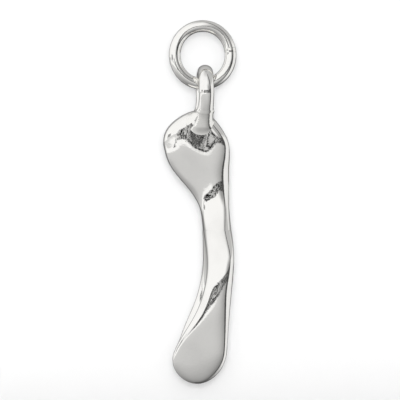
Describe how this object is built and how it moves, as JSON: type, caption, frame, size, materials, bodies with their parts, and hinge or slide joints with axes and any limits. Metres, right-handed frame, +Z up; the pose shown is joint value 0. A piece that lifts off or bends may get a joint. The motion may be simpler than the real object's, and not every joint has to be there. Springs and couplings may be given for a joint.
{
  "type": "wishbone charm",
  "caption": "Polished metal wishbone charm: a flat rounded head with bowed arms that end in paddles, hung by a soldered wire loop from a round jump ring.",
  "frame": {"origin": "the hanging point: the inside top of the jump ring, where a chain, bail or clasp carries the charm", "axes": "+Z up along the hanging charm, +Y from the near arm to the far arm, +X towards the straighter edge of the arms; the jump ring lies in the XZ plane and the hanging loop in the YZ plane"},
  "size_m": [0.0062, 0.008, 0.0309],
  "materials": {
    "silver": "polished sterling silver with fine tumbling marks",
    "solder": "silver solder, polished, slightly duller and pitted"
  },
  "bodies": {
    "ring": {"jump_ring": "silver", "jump_ring_solder": "solder"},
    "charm": {"hanging_loop": "silver", "wishbone": "silver", "loop_solder_near": "solder", "loop_solder_far": "solder"}
  },
  "joints": [
    {"name": "charm_swing", "type": "hinge", "parent": "ring", "child": "charm", "pos_m": [0, 0, -0.00442], "axis": [1, 0, 0], "range_deg": [-150, 150]}
  ]
}
